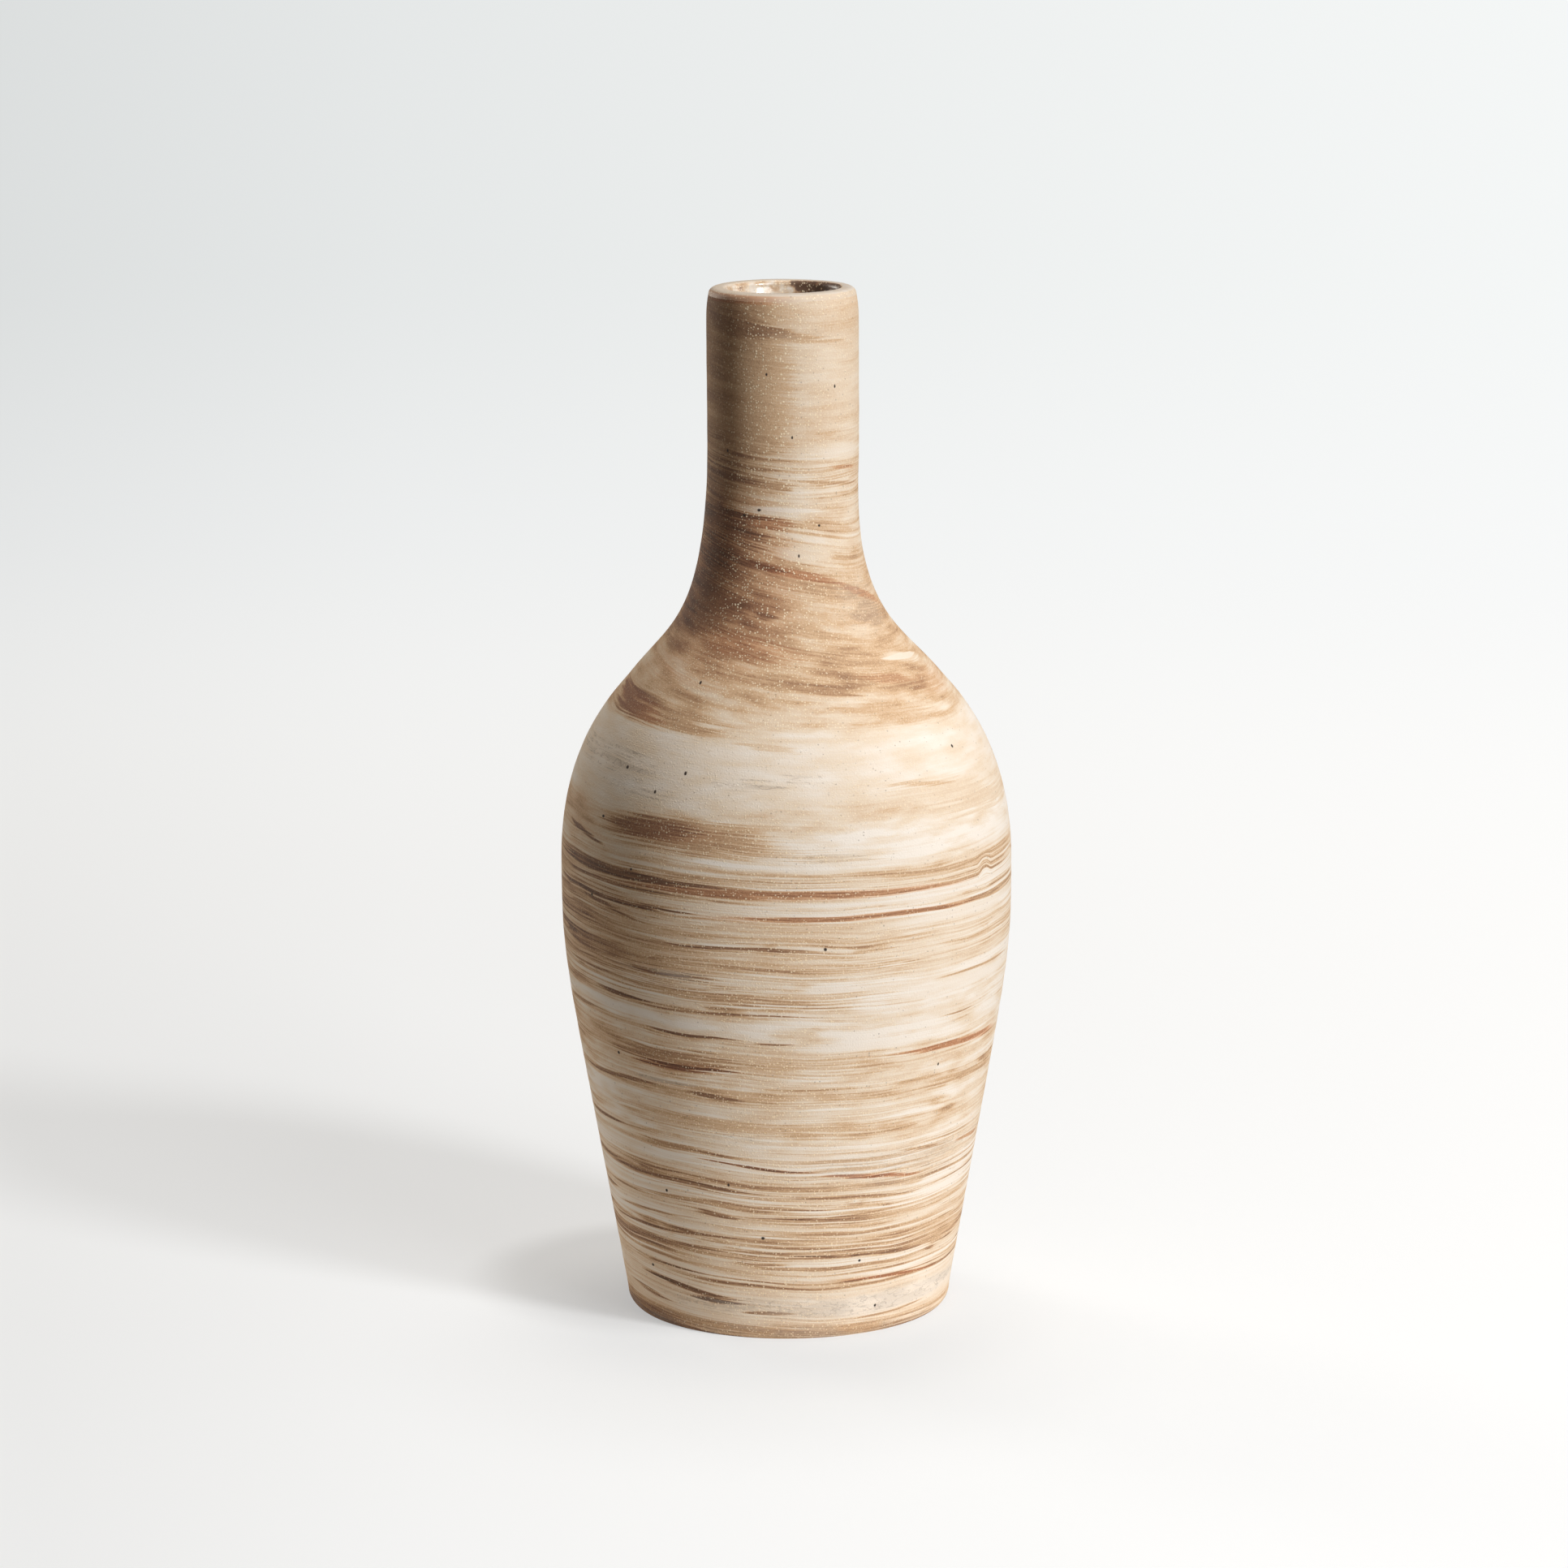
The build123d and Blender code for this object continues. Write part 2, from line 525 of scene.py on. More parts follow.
def make_drag_group():
    """Noise drawn out along the wheel's turn, from 0 to 1 about a half."""
    inputs = {"Place": "Vector", "Spread": "Float", "Width": "Float", "Detail": "Float"}
    tree, given, result = new_group("drawn_out_noise", inputs, {"Value": "Float"})
    size = combined(tree, given["Spread"], given["Spread"], given["Width"])
    place = vector_calc(tree, "DIVIDE", given["Place"], size)
    drawn = node(tree, "ShaderNodeTexNoise", {"Vector": place, "Scale": 1.0, "Detail": given["Detail"]})
    wire(tree, result["Value"], drawn.outputs[0])
    return tree


Drag = namedtuple("Drag", "spread width detail")
drag_group = make_drag_group()

# The drawn-out noises of the marbling: how long and how wide they run, and their detail
gentle_waves = Drag(34.0, 12.0, 1.0)
back_swell = Drag(40.0, 24.0, 1.0)
broad_bands = Drag(110.0, 3.2, 2.0)
fine_lines = Drag(90.0, 0.60, 2.0)
wall_fibres = Drag(14.0, 0.42, 2.0)
wide_sheets = Drag(40.0, 8.0, 1.0)
clay_cloud = Drag(15.0, 3.4, 7.0)
hair_contours = Drag(150.0, 4.5, 0.0)
vein_crackle = Drag(5.5, 1.5, 4.0)
lining_mottle = Drag(4.0, 3.0, 4.0)


def drawn_noise(tree, place, drag):
    """Noise drawn out along the marbling."""
    inputs = {"Place": place, "Spread": drag.spread, "Width": drag.width, "Detail": drag.detail}
    return use(tree, drag_group, inputs)["Value"]


# The level of the marbling: gentle waves all round, and larger ones behind, which fade out
# towards the foot, the mouth and the joint
wave_rise = 2.6
back_rise = 20.0
back_drop = -6.5
back_turn = (0.0, 0.8)
foot_calm = (4.0, 40.0)
mouth_calm = (300.0, 260.0)
joint_calm = (1.0, 34.0)

# The small kink in the lines at the right, just above the joint, as an angle and a level
kink_around = 60.0
kink_level = 139.5
kink_reach = (4.0, 0.5)
kink_rise = (5.0, 1.0)
kink_drop = -1.3

# The tilt of the lines as they run round the wall, with more of it in the throat
line_tilt = 1.9
throat_tilt = 4.4
throat_begins = (176.0, 200.0)
throat_ends = (244.0, 230.0)
tilt_bow = -1.1
tilt_front = -0.9


def make_place_group():
    """Where a point is on the vase: its spot round and up the wall, and its place along the marbling."""
    outputs = {"Spot": "Vector", "Drawn": "Vector", "Solid": "Vector", "Level": "Float", "Side": "Float"}
    tree, given, result = new_group("turned_place", {"Object": "Vector"}, outputs)
    inputs = {0: given["Object"], "Scale": 1 / mm}
    solid = node(tree, "ShaderNodeVectorMath", inputs, operation="SCALE").outputs[0]
    x, y, z = split(tree, solid)
    radius = calc(tree, "SQRT", calc(tree, "ADD", product(tree, x, x), product(tree, y, y)))
    radius = calc(tree, "MAXIMUM", radius, axis_clear)
    side = calc(tree, "DIVIDE", x, radius)
    depth = calc(tree, "DIVIDE", y, radius)
    around = calc(tree, "DEGREES", calc(tree, "ARCTAN2", x, calc(tree, "ABSOLUTE", y)))
    ends = product(tree, fade(tree, z, *foot_calm), fade(tree, z, *mouth_calm))
    joint = fade(tree, apart(tree, z, belly_height), *joint_calm)
    back = product(tree, fade(tree, depth, *back_turn), ends, joint)
    waves = drawn_noise(tree, solid, gentle_waves)
    swell = drawn_noise(tree, solid, back_swell)
    shift = product(tree, scaled(tree, swell, back_rise, back_drop), back)
    level = calc(tree, "ADD", scaled(tree, calc(tree, "SUBTRACT", waves, 0.5), wave_rise, z), shift)
    kink = fade(tree, apart(tree, around, kink_around), *kink_reach)
    kink = product(tree, kink, fade(tree, apart(tree, z, kink_level), *kink_rise))
    level = scaled(tree, kink, kink_drop, level)
    throat = product(tree, fade(tree, z, *throat_begins), fade(tree, z, *throat_ends))
    skew = scaled(tree, side, tilt_bow, scaled(tree, throat, throat_tilt, line_tilt))
    lean = scaled(tree, side, skew, product(tree, depth, tilt_front))
    drawn = calc(tree, "ADD", level, lean)
    wire(tree, result["Spot"], combined(tree, around, level))
    wire(tree, result["Drawn"], combined(tree, x, y, drawn))
    wire(tree, result["Solid"], solid)
    wire(tree, result["Level"], level)
    wire(tree, result["Side"], side)
    return tree


# A smear's dome runs from 1 at its middle to 0 at this many times its size, and shows between two heights
smear_dome = 1.6
smear_edge = 1 - 1 / smear_dome
smear_core = 1 - 0.5 / smear_dome


def make_smear_group():
    """One smear of clay laid over the tone below it: an ellipse with its edge drawn out in fibres."""
    inputs = {
        "Tone": "Float", "Spot": "Vector", "Centre": "Vector", "Turn": "Vector", "Size": "Vector",
        "Fibres": "Float", "Rag": "Float", "Target": "Float", "Strength": "Float",
    }
    tree, given, result = new_group("smear", inputs, {"Tone": "Float"})
    place = {"Location": given["Centre"], "Rotation": given["Turn"], "Scale": given["Size"]}
    mapped = node(tree, "ShaderNodeMapping", {"Vector": given["Spot"], **place}, vector_type="TEXTURE")
    inputs = {"Vector": mapped.outputs[0]}
    dome = node(tree, "ShaderNodeTexGradient", inputs, gradient_type="SPHERICAL").outputs["Fac"]
    ragged = product(tree, dome, scaled(tree, given["Fibres"], given["Rag"], 1.0))
    cover = fade(tree, ragged, smear_edge, smear_core, 0.0, given["Strength"])
    wire(tree, result["Tone"], mix(tree, cover, given["Tone"], given["Target"]))
    return tree


# Grog and pits: how close they lie, how wide a speck is, how its edge fades, and how often each comes
grog_scale = 1.4
speck_size = 0.21
speck_spread = 0.20
speck_edge = (1.2, 0.7)
pale_share = (0.30, 0.60)
dark_share = (0.07, 0.02)
grit_scale = 2.2
grit_detail = 3.0
pinhole_scale = 0.09
pinhole_edge = (0.045, 0.028)
pinhole_share = (0.75, 0.85)


def scattered(tree, place, scale):
    """Cells scattered through the clay: how far a point is from the middle of its cell, and its chances."""
    cells = node(tree, "ShaderNodeTexVoronoi", {"Vector": place, "Scale": scale}).outputs
    return cells["Distance"], node(tree, "ShaderNodeSeparateColor", {0: cells["Color"]}).outputs


def make_grog_group():
    """Fired grog and pits in the clay: pale specks, dark specks, grit and pinholes."""
    outputs = {"Specks": "Float", "Flecks": "Float", "Grit": "Float", "Pinholes": "Float"}
    tree, given, result = new_group("grog", {"Place": "Vector"}, outputs)
    distance, chance = scattered(tree, given["Place"], grog_scale)
    size = scaled(tree, chance[1], speck_spread, speck_size)
    dot = fade(tree, calc(tree, "DIVIDE", distance, size), *speck_edge)
    wire(tree, result["Specks"], product(tree, dot, fade(tree, chance[0], *pale_share)))
    wire(tree, result["Flecks"], product(tree, dot, fade(tree, chance[0], *dark_share)))
    inputs = {"Vector": given["Place"], "Scale": grit_scale, "Detail": grit_detail}
    wire(tree, result["Grit"], node(tree, "ShaderNodeTexNoise", inputs).outputs[0])
    distance, chance = scattered(tree, given["Place"], pinhole_scale)
    pit = fade(tree, distance, *pinhole_edge)
    wire(tree, result["Pinholes"], product(tree, pit, fade(tree, chance[0], *pinhole_share)))
    return tree


# The fired clay's colour by its tone, from cream through tan to umber, and what lies over it
clay_tones = [
    (0.00, (0.880, 0.800, 0.710)),
    (0.20, (0.802, 0.660, 0.506)),
    (0.45, (0.665, 0.450, 0.272)),
    (0.65, (0.438, 0.259, 0.144)),
    (0.82, (0.255, 0.133, 0.075)),
    (1.00, (0.130, 0.068, 0.040)),
]
rust_wash = (0.98, 0.65, 0.52, 1)
stain_grey = (0.50, 0.44, 0.385, 1)
speck_cream = (0.96, 0.81, 0.58, 1)
speck_tones = (0.04, 0.26)
fleck_umber = (0.24, 0.17, 0.12, 1)
fleck_share = 0.45
pit_black = (0.045, 0.030, 0.022, 1)


def make_clay_colour_group():
    """The colour of the fired clay: cream through tan to umber, with rust, grey, specks and pits."""
    inputs = {
        "Tone": "Float", "Rust": "Float", "Grey": "Float", "Specks": "Float", "Shine": "Float",
        "Flecks": "Float", "Pits": "Float",
    }
    tree, given, result = new_group("clay_colour", inputs, {"Color": "Color"})
    clay = ramp(tree, given["Tone"], clay_tones)
    rusty = mix_colour(tree, given["Rust"], clay, rust_wash, "MULTIPLY")
    greyed = mix_colour(tree, given["Grey"], rusty, stain_grey)
    tan = fade(tree, given["Tone"], *speck_tones)
    specked = mix_colour(tree, product(tree, given["Specks"], tan, given["Shine"]), greyed, speck_cream)
    flecked = mix_colour(tree, product(tree, given["Flecks"], fleck_share), specked, fleck_umber)
    wire(tree, result["Color"], mix_colour(tree, given["Pits"], flecked, pit_black))
    return tree


place_group = make_place_group()
smear_group = make_smear_group()
grog_group = make_grog_group()
clay_colour_group = make_clay_colour_group()

# The general tone of the clay up each section, left and right of the front: a level and two tones,
# cream at 0, tan near 0.45, umber at 1. The left tones hold the clay's colour and painted shade of
# the side away from the lamps, and near the foot both darken as painted contact shade, most on the left
lower_tones_and_shade = [
    (0, 0.66, 0.42), (5, 0.54, 0.36), (6.5, 0.27, 0.17), (14, 0.23, 0.16), (15, 0.16, 0.17),
    (17, 0.18, 0.43), (18.5, 0.22, 0.27), (20, 0.32, 0.35), (25, 0.34, 0.39), (28, 0.36, 0.41),
    (30, 0.14, 0.34), (31.5, 0.38, 0.34), (33, 0.32, 0.30), (34.5, 0.08, 0.22), (36.5, 0.28, 0.30),
    (38, 0.16, 0.32), (40, 0.22, 0.28), (42, 0.36, 0.30), (43.5, 0.06, 0.26), (45, 0.08, 0.40),
    (46, 0.08, 0.24), (48, 0.26, 0.31), (51, 0.32, 0.23), (53, 0.14, 0.19), (55, 0.06, 0.17),
    (58, 0.22, 0.27), (60.5, 0.12, 0.12), (62, 0.28, 0.21), (64, 0.22, 0.25), (69, 0.26, 0.27),
    (71.5, 0.08, 0.17), (74, 0.08, 0.19), (76, 0.28, 0.33), (79, 0.22, 0.31), (81, 0.24, 0.19),
    (85, 0.44, 0.25), (87.5, 0.40, 0.31), (90, 0.32, 0.19), (92, 0.26, 0.07), (95, 0.34, 0.11),
    (97, 0.26, 0.17), (98.5, 0.12, 0.11), (101, 0.22, 0.11), (102.5, 0.34, 0.13), (104.5, 0.53, 0.11),
    (107, 0.47, 0.09), (110, 0.51, 0.11), (113, 0.59, 0.13), (115.5, 0.53, 0.21), (118, 0.57, 0.27),
    (122, 0.55, 0.23), (126, 0.37, 0.14), (129, 0.36, 0.13), (131, 0.44, 0.32), (134, 0.34, 0.13),
]
upper_tones_and_shade = [
    (135, 0.34, 0.09), (137.5, 0.50, 0.29), (140, 0.54, 0.23), (142.5, 0.44, 0.29), (145, 0.25, 0.08),
    (148, 0.33, 0.07), (150, 0.39, 0.07), (155, 0.47, 0.09), (157, 0.37, 0.19), (160, 0.21, 0.23),
    (163, 0.14, 0.20), (166, 0.13, 0.14), (170, 0.12, 0.12), (176, 0.13, 0.11), (180, 0.14, 0.14),
    (182, 0.35, 0.20), (184, 0.45, 0.32), (187, 0.41, 0.32), (190, 0.37, 0.39), (193, 0.35, 0.45),
    (196, 0.39, 0.47), (199, 0.47, 0.41), (202, 0.59, 0.47), (205, 0.67, 0.44), (208, 0.73, 0.44),
    (214, 0.79, 0.44), (218, 0.81, 0.42), (222, 0.81, 0.42), (226, 0.86, 0.42), (229, 0.88, 0.37),
    (232, 0.78, 0.36), (235, 0.76, 0.42), (238, 0.84, 0.38), (240.5, 0.86, 0.32), (243, 0.58, 0.22),
    (245, 0.62, 0.28), (247, 0.67, 0.32), (250, 0.73, 0.34), (254, 0.71, 0.32), (258, 0.69, 0.20),
    (262, 0.67, 0.28), (266, 0.67, 0.30), (272, 0.69, 0.27), (280, 0.67, 0.24), (290, 0.69, 0.26),
    (294, 0.77, 0.33), (298, 0.77, 0.33), (302, 0.73, 0.31), (305, 0.73, 0.31),
]

# How strong the drawn-out streaks are up each section, and how cloudy the clay is between them
lower_streaks = [
    (0, 0.7), (6, 0.5), (14, 0.5), (18, 1.0), (56, 1.0), (63, 0.55), (90, 0.50), (98, 0.70),
    (112, 0.85), (134, 0.95),
]
upper_streaks = [
    (135, 0.9), (144, 0.7), (150, 0.30), (158, 0.10), (178, 0.06), (184, 0.12), (204, 0.14), (214, 0.16),
    (228, 0.35), (245, 0.45), (262, 0.30), (268, 0.06), (305, 0.03),
]
lower_clouds = [(0, 0.20), (56, 0.25), (66, 0.60), (92, 0.55), (104, 0.45), (116, 0.20), (134, 0.10)]
upper_clouds = [
    (135, 0.15), (148, 0.4), (156, 0.6), (164, 0.35), (178, 0.35), (186, 0.7), (206, 0.7), (216, 0.55),
    (240, 0.5), (262, 0.35), (305, 0.30),
]

Smear = namedtuple("Smear", "around level reach thickness fall tone strength rag")

# Smears of the lower section, broad ones first and then from its foot up: the middle's angle and level,
# half the length in degrees, half the thickness, the rise in millimetres per degree to the right,
# the tone, how strongly it covers, and how ragged its edge is
lower_smears = [
    (0, 127.0, 54, 4.0, -0.01, 0.40, 0.75, 0.6),
    (-6, 117.5, 46, 4.5, -0.03, 0.42, 0.55, 1.0),
    (-8, 107.0, 44, 3.5, -0.05, 0.46, 0.60, 1.0),
    (-6, 88.0, 42, 5.0, -0.03, 0.42, 0.55, 1.0),
    (-4, 71.0, 42, 7.0, -0.02, 0.36, 0.36, 1.0),
    # This dark smear low on the left at the foot is painted contact shade
    (-55, 2.0, 32, 2.6, -0.02, 0.86, 0.8, 0.5),
    (5, 2.6, 60, 2.6, -0.005, 0.58, 0.8, 0.6),
    (45, 9.5, 50, 4.0, 0.0, 0.05, 0.8, 0.5),
    (-57, 9.3, 16, 1.0, -0.07, 0.82, 0.9, 0.8),
    (-8, 8.0, 11, 0.8, 0.0, 0.75, 0.9, 0.8),
    (40, 6.4, 20, 0.5, 0.05, 0.60, 0.9, 0.6),
    (-36, 13.6, 25, 0.95, -0.085, 0.90, 1.0, 0.6),
    (-25, 11.4, 11, 1.3, -0.01, 0.98, 1.0, 0.6),
    (-20, 17.0, 32, 0.4, -0.045, 0.62, 0.9, 0.5),
    (38, 17.2, 24, 0.55, -0.05, 0.70, 1.0, 0.5),
    (-10, 24.2, 14, 0.6, -0.03, 0.80, 0.9, 0.5),
    (-28, 27.6, 45, 0.6, 0.0, 0.72, 0.9, 0.5),
    (57, 26.6, 20, 2.0, 0.03, 0.45, 0.8, 0.6),
    (-45, 31.6, 38, 0.6, 0.0, 0.76, 0.9, 0.5),
    (-50, 36.5, 24, 0.5, 0.0, 0.66, 0.9, 0.5),
    (-22, 38.6, 9, 0.8, -0.05, 0.74, 0.8, 0.8),
    (-76, 40.0, 10, 0.8, -0.02, 0.85, 0.9, 0.5),
    (-30, 42.0, 50, 1.1, -0.025, 0.62, 0.9, 0.6),
    (22, 44.2, 26, 0.7, -0.045, 0.66, 1.0, 0.5),
    (-40, 48.0, 38, 2.0, -0.065, 0.56, 0.9, 0.7),
    (-40, 48.2, 38, 0.8, -0.065, 0.80, 0.9, 0.6),
    (-10, 54.6, 22, 0.55, -0.08, 0.88, 1.0, 0.4),
    (28, 50.4, 20, 0.8, -0.10, 0.66, 1.0, 0.5),
    (43, 56.6, 11, 0.7, -0.10, 0.62, 0.9, 0.5),
    (70, 54.5, 12, 0.8, -0.05, 0.55, 0.9, 0.5),
    (-33, 59.0, 20, 1.0, -0.06, 0.68, 0.9, 0.6),
    (-68, 62.3, 15, 0.7, 0.0, 0.84, 0.9, 0.5),
    (-22, 67.0, 40, 3.0, -0.03, 0.46, 0.8, 0.8),
    (-20, 76.3, 9, 0.9, -0.09, 0.84, 0.9, 0.6),
    (-55, 77.6, 21, 0.8, 0.02, 0.80, 0.9, 0.6),
    (62, 76.8, 19, 1.3, -0.02, 0.52, 0.9, 0.7),
    (-32, 87.0, 24, 3.6, -0.04, 0.66, 0.9, 0.9),
    (-30, 84.6, 16, 1.3, -0.03, 0.97, 0.9, 0.8),
    (54, 87.6, 28, 1.2, -0.04, 0.62, 1.0, 0.4),
    (20, 92.2, 24, 2.0, 0.0, 0.02, 0.9, 0.6),
    (-26, 94.8, 15, 0.7, -0.06, 0.95, 1.0, 0.6),
    (-4, 93.4, 7, 0.4, -0.02, 0.86, 0.9, 0.6),
    (-70, 97.0, 13, 0.6, 0.0, 0.74, 0.9, 0.5),
    (51, 97.6, 7, 0.4, 0.0, 0.66, 0.9, 0.5),
    (-20, 102.0, 32, 0.5, -0.02, 0.74, 0.9, 0.5),
    (-49, 104.2, 12, 1.0, -0.06, 0.90, 0.9, 0.6),
    (-18, 107.4, 34, 2.4, -0.08, 0.54, 0.9, 0.8),
    (60, 109.5, 22, 0.5, 0.0, 0.56, 0.9, 0.4),
    (60, 106.5, 30, 2.2, 0.0, 0.04, 0.8, 0.5),
    (-32, 113.2, 18, 1.3, -0.06, 0.88, 0.9, 0.8),
    (-63, 116.0, 14, 0.7, -0.06, 0.88, 0.9, 0.5),
    (-10, 121.8, 24, 0.7, -0.035, 0.74, 0.95, 0.4),
    (-66, 127.5, 7, 0.5, 0.0, 0.70, 0.9, 0.4),
    (50, 127.6, 40, 1.8, 0.02, 0.04, 0.8, 0.5),
    (-50, 132.4, 36, 1.0, -0.045, 0.90, 1.0, 0.5),
    (14, 130.6, 44, 1.2, 0.0, 0.64, 0.95, 0.35),
    (65, 131.2, 18, 0.8, 0.03, 0.56, 0.9, 0.5),
]

# Smears of the upper section, from the joint up
upper_smears = [
    # The first two broad smears darken the left of the neck and throat: the clay's own colour, and painted
    # shade on the side away from the lamps
    (-17, 278.0, 32, 22.0, 0.0, 0.54, 0.50, 0.4),
    (-32, 235.0, 24, 9.0, -0.03, 0.96, 0.40, 0.7),
    (46, 164.0, 22, 4.2, -0.07, 0.26, 0.70, 1.2),
    (-8, 137.8, 60, 1.3, -0.012, 0.66, 0.95, 0.4),
    (50, 137.8, 26, 0.7, 0.02, 0.60, 0.9, 0.5),
    (-52, 140.8, 35, 1.7, -0.04, 0.92, 0.95, 0.4),
    (40, 142.2, 42, 1.3, -0.02, 0.50, 0.9, 0.6),
    (10, 148.2, 18, 1.4, -0.03, 0.30, 0.8, 0.7),
    (-64, 149.0, 12, 0.9, -0.17, 0.90, 0.9, 0.6),
    (-18, 150.0, 34, 2.4, 0.0, 0.46, 0.70, 0.7),
    (-28, 153.5, 30, 6.4, -0.02, 0.70, 0.72, 0.5),
    (-38, 154.8, 18, 4.0, -0.02, 0.88, 0.70, 0.5),
    (-12, 157.0, 14, 1.4, -0.02, 0.50, 0.6, 0.7),
    (62, 158.0, 26, 5.0, 0.0, 0.28, 0.8, 0.9),
    (40, 166.0, 14, 1.0, -0.08, 0.46, 0.9, 0.8),
    (-5, 178.4, 12, 1.2, -0.10, 0.34, 0.8, 0.9),
    (-64, 186.2, 26, 4.2, -0.10, 0.84, 0.85, 0.7),
    (-38, 184.0, 22, 3.2, -0.03, 0.62, 0.75, 0.9),
    (42, 186.0, 20, 1.0, -0.06, 0.42, 0.8, 0.7),
    (15, 192.0, 17, 1.0, -0.12, 0.62, 0.9, 0.7),
    (44, 194.6, 15, 1.6, -0.12, 0.58, 0.9, 0.9),
    (64, 198.4, 18, 1.6, -0.08, 0.04, 0.9, 0.8),
    (-30, 202.0, 20, 2.4, -0.12, 0.70, 0.80, 0.6),
    (-20, 206.0, 24, 1.6, -0.06, 0.68, 0.80, 0.6),
    (-12, 212.2, 11, 1.3, -0.08, 0.84, 1.0, 0.5),
    (-44, 213.0, 18, 9.0, -0.06, 0.78, 0.7, 0.6),
    (60, 216.6, 28, 1.7, -0.17, 0.58, 0.9, 0.4),
    (16, 223.2, 30, 1.5, -0.11, 0.62, 1.0, 0.4),
    (-20, 226.8, 28, 1.5, -0.08, 0.84, 0.95, 0.4),
    (-50, 229.6, 18, 1.8, -0.03, 0.94, 0.9, 0.8),
    (16, 229.5, 26, 2.6, -0.04, 0.16, 0.8, 0.8),
    (-10, 238.2, 21, 2.2, -0.03, 0.64, 0.95, 0.9),
    (-45, 240.8, 44, 1.0, -0.035, 0.92, 0.95, 0.6),
    (2, 242.4, 38, 1.0, -0.03, 0.05, 0.95, 0.9),
    (-44, 252.0, 12, 2.2, -0.02, 0.84, 0.8, 0.8),
    (-5, 249.6, 14, 2.4, 0.0, 0.60, 0.8, 0.9),
    (38, 249.8, 40, 0.8, -0.035, 0.62, 0.9, 0.5),
    (54, 253.6, 18, 0.6, -0.03, 0.54, 0.9, 0.5),
    (52, 258.4, 28, 3.2, -0.02, 0.10, 0.8, 0.8),
    (-20, 254.2, 22, 0.6, 0.0, 0.66, 0.8, 0.6),
    (-20, 259.2, 22, 0.6, 0.0, 0.58, 0.8, 0.6),
    (-32, 295.2, 38, 3.4, -0.03, 0.76, 0.75, 0.6),
    (-10, 294.4, 26, 2.0, -0.03, 0.76, 0.80, 0.6),
    (10, 292.7, 26, 1.6, -0.03, 0.56, 0.75, 0.6),
    (30, 291.2, 28, 0.8, -0.012, 0.50, 0.75, 0.6),
]

# Touches of rust, in the same way
lower_rust = [
    (54, 87.6, 28, 1.3, -0.04, 1.0, 0.70, 0.4),
    (16, 130.6, 48, 1.4, 0.0, 1.0, 0.45, 0.4),
    (28, 50.4, 20, 0.9, -0.10, 1.0, 0.75, 0.5),
    (38, 17.2, 24, 0.7, -0.05, 1.0, 0.75, 0.5),
    (-30, 84.6, 18, 1.6, -0.03, 1.0, 0.50, 0.8),
    (-10, 54.6, 22, 0.6, -0.08, 1.0, 0.40, 0.4),
    (70, 54.5, 14, 0.9, -0.05, 1.0, 0.35, 0.5),
]
upper_rust = [
    (6, 224.2, 40, 1.6, -0.10, 1.0, 0.55, 0.5),
    (60, 216.6, 28, 1.7, -0.17, 1.0, 0.50, 0.5),
    (54, 253.6, 18, 0.7, -0.03, 1.0, 0.40, 0.5),
    (0, 137.8, 62, 1.6, -0.01, 1.0, 0.45, 0.4),
    (44, 194.6, 15, 1.8, -0.12, 1.0, 0.30, 0.9),
    (-64, 186.2, 26, 3.4, -0.12, 1.0, 0.50, 0.7),
    (72, 191.0, 18, 5.0, 0.0, 1.0, 0.15, 0.9),
    (-10, 238.2, 20, 2.2, -0.03, 1.0, 0.40, 0.8),
    (-34, 154.0, 20, 3.6, -0.02, 1.0, 0.25, 1.0),
    (-20, 204.0, 34, 4.0, -0.08, 1.0, 0.30, 1.0),
    (-45, 302.6, 55, 1.0, -0.01, 1.0, 0.60, 0.5),
    # This broad wash warms the left of the throat: painted warmth of the shade there
    (-42, 222.0, 62, 34.0, 0.0, 1.0, 0.32, 0.3),
]

# Grey stains, in the same way
lower_grey = [
    (-5, 2.4, 90, 3.2, 0.0, 1.0, 0.26, 0.5),
    (20, 10.0, 80, 4.2, 0.0, 1.0, 0.30, 0.5),
    (42, 53.0, 50, 8.0, 0.0, 1.0, 0.16, 0.4),
    (-35, 79.4, 12, 0.9, -0.02, 1.0, 0.55, 0.9),
    (-32, 113.2, 18, 1.4, -0.06, 1.0, 0.45, 0.8),
    (-14, 63.5, 12, 1.2, -0.03, 1.0, 0.20, 0.9),
]
upper_grey = [
    (54, 214.0, 26, 10.0, -0.04, 1.0, 0.20, 0.6),
    (-62, 171.5, 20, 4.0, -0.04, 1.0, 0.40, 3.0),
    (-50, 166.5, 18, 2.4, -0.06, 1.0, 0.35, 3.0),
    (-9, 169.0, 10, 2.0, 0.06, 1.0, 0.40, 3.0),
    (4, 170.5, 9, 1.4, -0.04, 1.0, 0.35, 3.0),
    (8, 148.4, 18, 1.6, -0.03, 1.0, 0.30, 0.9),
    (14, 293.2, 34, 2.4, -0.03, 1.0, 0.14, 0.9),
]

# Pinholes: the angle, the level and half the width in degrees, and half the height of them all
lower_pits = [
    (9.5, 122.0, 0.55), (-58.0, 131.5, 0.55), (-52.0, 85.0, 0.65), (45.0, 82.5, 0.40), (-40.0, 44.0, 0.60),
    (-18.0, 48.5, 0.50), (-8.0, 32.0, 0.75), (-52.0, 18.0, 0.80), (31.0, 9.0, 0.60),
]
upper_pits = [
    (-47.0, 259.0, 1.4), (-13.0, 282.0, 1.1), (-19.0, 242.4, 1.8), (42.0, 277.5, 1.1), (6.0, 263.5, 0.9),
    (10.0, 229.0, 0.9), (-35.0, 194.5, 0.7), (-29.0, 171.0, 0.55), (-50.0, 170.0, 0.7), (-37.5, 165.5, 0.5),
    (-55.0, 155.5, 0.7), (57.0, 174.0, 0.6),
]
pit_height = 0.60


